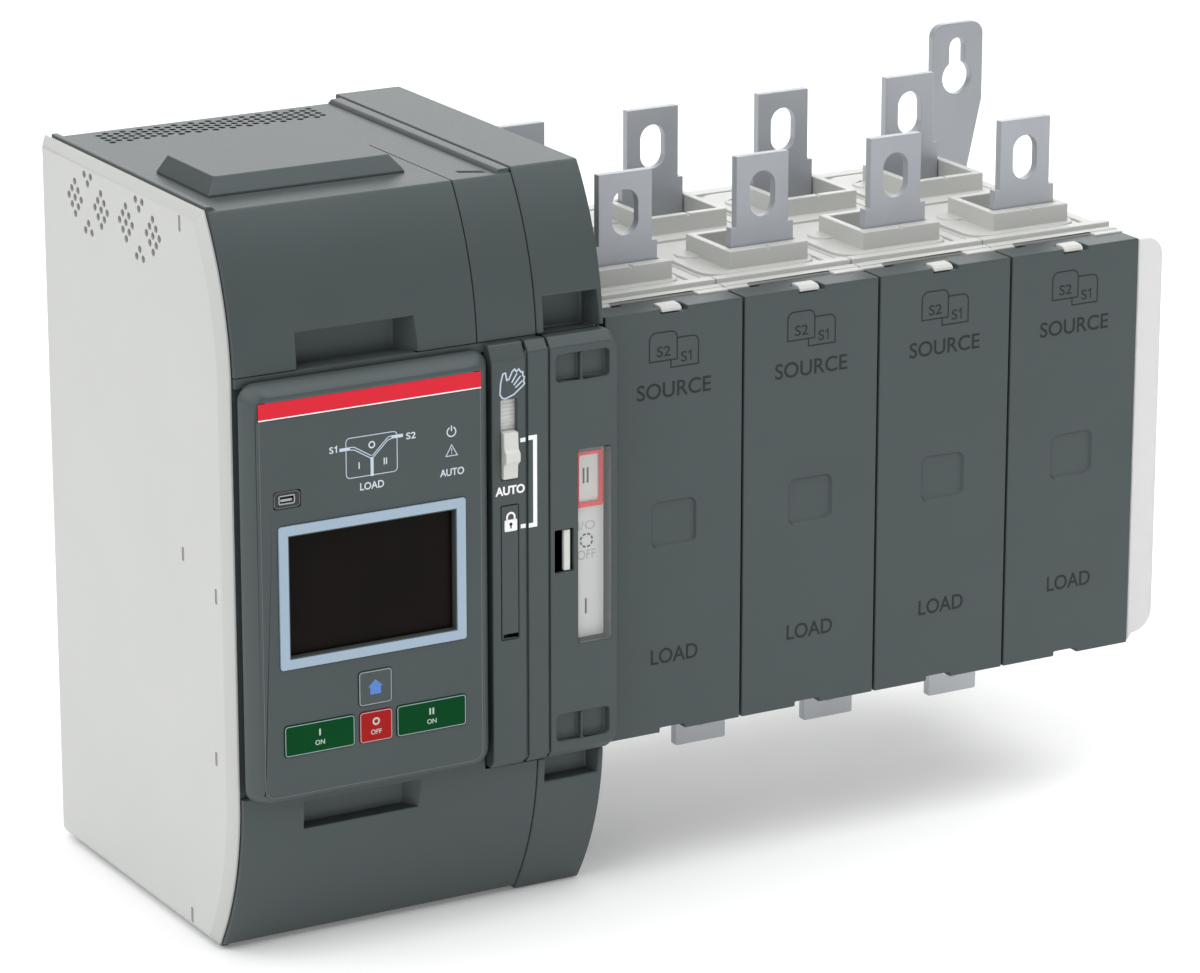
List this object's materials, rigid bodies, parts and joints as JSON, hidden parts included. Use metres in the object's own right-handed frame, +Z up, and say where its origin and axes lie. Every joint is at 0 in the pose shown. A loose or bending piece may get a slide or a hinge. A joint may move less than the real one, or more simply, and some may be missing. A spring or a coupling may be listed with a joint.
{
  "type": "automatic transfer switch",
  "caption": "Boxy grey control module with a screen, keys and position window beside a row of switch poles with slotted flat terminals above and below.",
  "frame": {"origin": "on the rear mounting face, near the middle of the device's length and level with the middle of the pole covers", "axes": "+X right along the row of poles, +Y back towards the panel the device is screwed to, +Z up towards the source terminals"},
  "size_m": [0.4585, 0.1827, 0.3084],
  "materials": {
    "dark_grey_plastic": "fine matt grain",
    "light_grey_panel": "light grey, satin",
    "off_white_plastic": "smooth satin",
    "zinc_plated_steel": "zinc plated",
    "tinned_copper": "tin plated copper, satin",
    "black_component": "moulded",
    "circuit_board_green": "laminate with solder mask",
    "screen_frame_blue": "pale blue, printed",
    "display_black": "unlit screen, satin gloss",
    "clear_window": "clear polycarbonate",
    "signal_red": "printed red",
    "key_green": "membrane key",
    "key_red": "membrane key"
  },
  "bodies": {
    "chassis": {"base_plate": "zinc_plated_steel", "bottom_cover": "dark_grey_plastic", "centre_strip": "dark_grey_plastic", "control_board": "circuit_board_green", "display_frame": "screen_frame_blue", "display_glass": "display_black", "end_plate": "light_grey_panel", "front_panel": "dark_grey_plastic", "hmi_bezel": "dark_grey_plastic", "hmi_board": "circuit_board_green", "hmi_rear_case": "dark_grey_plastic", "hmi_stripe": "signal_red", "indicator_frame": "dark_grey_plastic", "indicator_scale": "off_white_plastic", "indicator_window": "clear_window", "load_terminal_1": "tinned_copper", "load_terminal_2": "tinned_copper", "load_terminal_3": "tinned_copper", "load_terminal_4": "tinned_copper", "mechanism_bracket": "zinc_plated_steel", "pole_cover_1": "dark_grey_plastic", "pole_cover_2": "dark_grey_plastic", "pole_cover_3": "dark_grey_plastic", "pole_cover_4": "dark_grey_plastic", "pole_housing_1": "off_white_plastic", "pole_housing_2": "off_white_plastic", "pole_housing_3": "off_white_plastic", "pole_housing_4": "off_white_plastic", "power_supply": "black_component", "raised_cover": "dark_grey_plastic", "selector_panel": "dark_grey_plastic", "selector_track": "light_grey_panel", "side_panel_left": "light_grey_panel", "solenoid_source_1": "black_component", "solenoid_source_2": "black_component", "source_1_terminal_1": "tinned_copper", "source_1_terminal_2": "tinned_copper", "source_1_terminal_3": "tinned_copper", "source_1_terminal_4": "tinned_copper", "source_2_terminal_1": "tinned_copper", "source_2_terminal_2": "tinned_copper", "source_2_terminal_3": "tinned_copper", "source_2_terminal_4": "tinned_copper", "top_cover": "dark_grey_plastic", "top_hatch": "dark_grey_plastic", "usb_port": "black_component", "vent_grille": "dark_grey_plastic"},
    "rotor_1": {"contact_rotor_1": "zinc_plated_steel"},
    "rotor_2": {"contact_rotor_2": "zinc_plated_steel"},
    "link": {"transfer_link": "zinc_plated_steel"},
    "plunger": {"solenoid_plunger": "zinc_plated_steel"},
    "marker": {"indicator_marker": "signal_red"},
    "selector": {"selector_knob": "off_white_plastic"},
    "padlock_tab": {"lock_tab": "dark_grey_plastic"},
    "release": {"release_slider": "light_grey_panel"},
    "on_key_1": {"key_source_1_on": "key_green"},
    "on_key_2": {"key_source_2_on": "key_green"},
    "off_key": {"key_off": "key_red"},
    "home_key": {"key_home": "dark_grey_plastic"}
  },
  "joints": [
    {"name": "rotor_1_turn", "type": "hinge", "parent": "chassis", "child": "rotor_1", "pos_m": [-0.052, -0.1257, 0.002], "axis": [1, 0, 0], "range_deg": [0, 35]},
    {"name": "rotor_2_turn", "type": "hinge", "parent": "chassis", "child": "rotor_2", "pos_m": [-0.052, -0.0366, 0.002], "axis": [1, 0, 0], "range_deg": [0, 35]},
    {"name": "link_turn", "type": "hinge", "parent": "rotor_1", "child": "link", "pos_m": [-0.071, -0.1257, -0.02], "axis": [1, 0, 0], "range_deg": [-35, 0]},
    {"name": "plunger_slide", "type": "slide", "parent": "chassis", "child": "plunger", "axis": [0, 1, 0], "range_m": [0, 0.0126]},
    {"name": "marker_slide", "type": "slide", "parent": "chassis", "child": "marker", "axis": [0, 0, -1], "range_m": [0, 0.0542]},
    {"name": "selector_slide", "type": "slide", "parent": "chassis", "child": "selector", "axis": [0, 0, 1], "range_m": [0, 0.0128]},
    {"name": "padlock_tab_pull", "type": "slide", "parent": "chassis", "child": "padlock_tab", "axis": [0, -1, 0], "range_m": [0, 0.02]},
    {"name": "release_slide", "type": "slide", "parent": "chassis", "child": "release", "axis": [-1, 0, 0], "range_m": [0, 0.0035], "stiffness_N_per_m": 300, "springref_m": -0.0005},
    {"name": "on_key_1_press", "type": "slide", "parent": "chassis", "child": "on_key_1", "axis": [0, 1, 0], "range_m": [0, 0.0008], "stiffness_N_per_m": 1500, "springref_m": -0.0003},
    {"name": "on_key_2_press", "type": "slide", "parent": "chassis", "child": "on_key_2", "axis": [0, 1, 0], "range_m": [0, 0.0008], "stiffness_N_per_m": 1500, "springref_m": -0.0003},
    {"name": "off_key_press", "type": "slide", "parent": "chassis", "child": "off_key", "axis": [0, 1, 0], "range_m": [0, 0.0008], "stiffness_N_per_m": 1500, "springref_m": -0.0003},
    {"name": "home_key_press", "type": "slide", "parent": "chassis", "child": "home_key", "axis": [0, 1, 0], "range_m": [0, 0.0008], "stiffness_N_per_m": 1500, "springref_m": -0.0003}
  ],
  "couplings": [
    {"joint": "rotor_2_turn", "follows": "rotor_1_turn", "ratio": 1},
    {"joint": "link_turn", "follows": "rotor_1_turn", "ratio": -1},
    {"joint": "plunger_slide", "follows": "rotor_1_turn", "m_per_rad": 0.0206},
    {"joint": "marker_slide", "follows": "rotor_1_turn", "m_per_rad": 0.0887}
  ]
}
